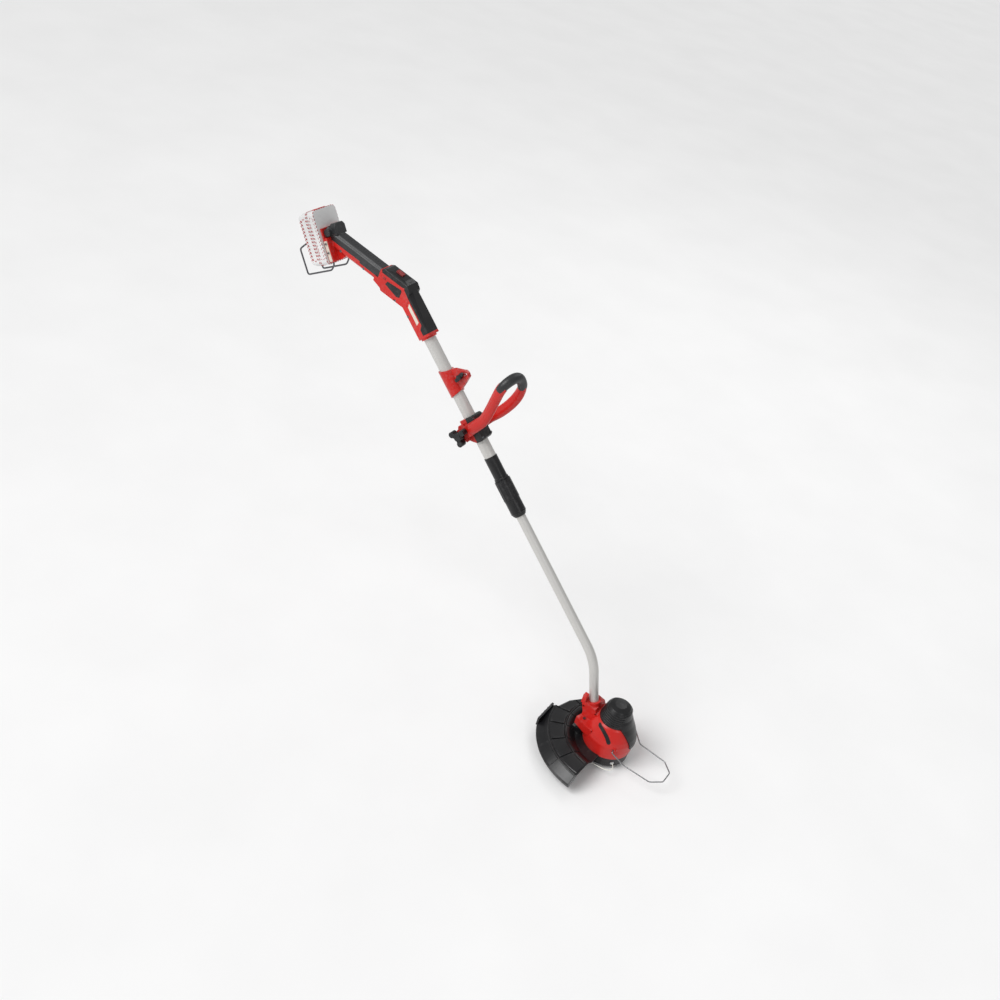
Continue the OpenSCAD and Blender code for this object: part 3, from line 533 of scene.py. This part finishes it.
# ---------- loop handle and its soft grip, rebuilt as smooth sweeps ----------
LOOP = [(10, -27.1, -184.5), (30, -28.5, -182), (57, -28.5, -176), (88, -30, -160), (116, -33, -144),
        (143, -33.5, -129), (159, -22, -123), (165, -2, -123), (162, 15, -130), (149, 28, -147),
        (125, 33.5, -162), (97, 31, -173), (62, 28.5, -180), (30, 28.5, -182), (10, 27.1, -184.5)]
loop_line = catmull([mm(SHAFT, *p) for p in LOOP], 10)
count = len(loop_line)
ARM_END = 51
UP_SHAFT = SHAFT.to_3x3() @ Vector((0, 0.2, 1))


def arm_size(i):
    """Half sizes of an arm, broad along the shaft and narrow across it, tapering to the soft grip."""
    t = max(0.0, (i / ARM_END - 0.62) / 0.38)
    return (0.0128 - 0.0022 * t * t, 0.0084)


def grip_size(i):
    t = i / (len(grip_line) - 1)
    swell = math.sin(math.pi * t) ** 0.4 if 0 < t < 1 else 0
    groove = 0.00018 * math.cos(2 * math.pi * t * 26)
    r = 0.0098 + 0.0019 * swell + groove
    return (r, r)


arms = Parts()
for part in (loop_line[:ARM_END + 1], loop_line[::-1][:ARM_END + 1]):
    start = len(arms.v)
    arms.v += tube_rings(part, arm_size, 28, UP_SHAFT)
    arms.f += tube_faces(len(part), 28, start)
piece("loop_handle_arms", arms.v, arms.f, RED, "loop")
grip_line = catmull(loop_line[48: count - 48], 2)
piece("loop_grip_sleeve", tube_rings(grip_line, grip_size, 32, SIDE),
      tube_faces(len(grip_line), 32), RUBBER, "loop", replaces=("loop_grip",))


# ---------- soft grip: fine ribs across its upper side ----------
GRIP_RIBS, RIB_START, RIB_PITCH = 15, 206, 7.2
GRIP_AXIS, GRIP_R = 81, 17.45
pads = Parts()
for i in range(GRIP_RIBS):
    turn = [math.radians(-54 + 9 * k) for k in range(13)]
    pads.tube([mm(HAND, GRIP_AXIS + GRIP_R * math.cos(a), 17.3 * math.sin(a), RIB_START + RIB_PITCH * i)
               for a in turn], 0.55 * MM, 8, UP)
piece("grip_ribs", pads.v, pads.f, RUBBER, "upper")

# fine ribs round the lock collar: place along the shaft, and radius there
COLLAR_BANDS = ((-324, 18.7), (-366, 18.7), (-370, 18.05), (-398, 18.05), (-402, 18.05), (-406, 16.2))
bands = Parts()
for u, r in COLLAR_BANDS:
    turn = [math.radians(a) for a in range(0, 361, 10)]
    bands.tube([mm(SHAFT, r * math.cos(a), r * math.sin(a), u) for a in turn], 0.5 * MM, 8, SIDE)
piece("collar_bands", bands.v, bands.f, BLACK, "lock_collar")

# two dark vent marks on each side, behind the name plate: painted shade, thin dark-red slabs laid on the
# housing in place of the shaded vent recesses
vent_shade_marks = Parts()
for y in (-19.05, 19.05):
    for w in (171.5, 176):
        vent_shade_marks.slab(HAND, (82.5, y - 0.25, w - 1.6), (88, y + 0.25, w + 1.6), 0.2)
piece("housing_vent_shade", vent_shade_marks.v, vent_shade_marks.f, DARK_RED, "upper", smooth=False)


# ---------- tap spring: a fixed steel coil on the spool, in place of the CAD spring ---------------
SPRING_LOW, SPRING_HIGH, SPRING_R, SPRING_TURNS, TAP_TRAVEL = 14.1, 30.8, 9, 6, 4.5
SPRING_STEPS, SPRING_WIRE = SPRING_TURNS * 24, 0.6 * MM
spring_path = []
for i in range(SPRING_STEPS + 1):
    t = i / SPRING_STEPS
    a = 2 * math.pi * SPRING_TURNS * t
    spring_path.append(Vector((SPRING_R * math.cos(a), SPRING_R * math.sin(a),
                               SPRING_LOW + (SPRING_HIGH - SPRING_LOW) * t)) * MM)
spring = piece("tap_spring_coil", tube_rings(spring_path, lambda i: (SPRING_WIRE, SPRING_WIRE), 8, UP),
               tube_faces(len(spring_path), 8), STEEL, "spool", replaces=("tap_spring",))
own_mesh(spring)


# ---------- floor and lights ----------
FLOOR_HALF, FLOOR_Z = 40, -0.001


def floor_mesh():
    me = bpy.data.meshes.new("floor")
    corners = [(x * FLOOR_HALF, y * FLOOR_HALF, FLOOR_Z) for x, y in ((-1, -1), (1, -1), (1, 1), (-1, 1))]
    me.from_pydata(corners, [], [[0, 1, 2, 3]])
    o = bpy.data.objects.new("floor", me)
    bpy.context.scene.collection.objects.link(o)
    m, t, b = principled("floor")
    pale = ramp(t, noise(t, 3, 3), [(0.3, (0.90, 0.90, 0.90)), (0.7, (0.93, 0.93, 0.93))])
    t.links.new(pale, b.inputs["Base Color"])
    b.inputs["Roughness"].default_value = 0.9
    b.inputs["Specular IOR Level"].default_value = 0.1
    me.materials.append(m)
    return o


floor_mesh()


def light(name, kind, at, to, power):
    d = bpy.data.lights.new(name, kind)
    d.energy = power
    o = bpy.data.objects.new(name, d)
    bpy.context.scene.collection.objects.link(o)
    o.location = at
    o.rotation_euler = (Vector(to) - Vector(at)).to_track_quat("-Z", "Y").to_euler()
    return d


MIDDLE = (-0.4, 0, 0.4)
light("sun", "SUN", (-2.0, -2.2, 3.4), MIDDLE, 1.9).angle = math.radians(38)
light("key", "AREA", (-2.0, -2.2, 3.0), MIDDLE, 17).size = 0.9
light("fill", "AREA", (2.2, -1.6, 2.0), (-0.3, 0, 0.4), 9).size = 0.9
light("back", "AREA", (-0.4, 2.6, 2.8), MIDDLE, 14).size = 1.2
world = bpy.data.worlds.new("world")
bpy.context.scene.world = world
world.use_nodes = True
world.node_tree.nodes["Background"].inputs[0].default_value = (1, 1, 1, 1)
world.node_tree.nodes["Background"].inputs[1].default_value = 0.4
bpy.context.scene.view_settings.view_transform = "Standard"
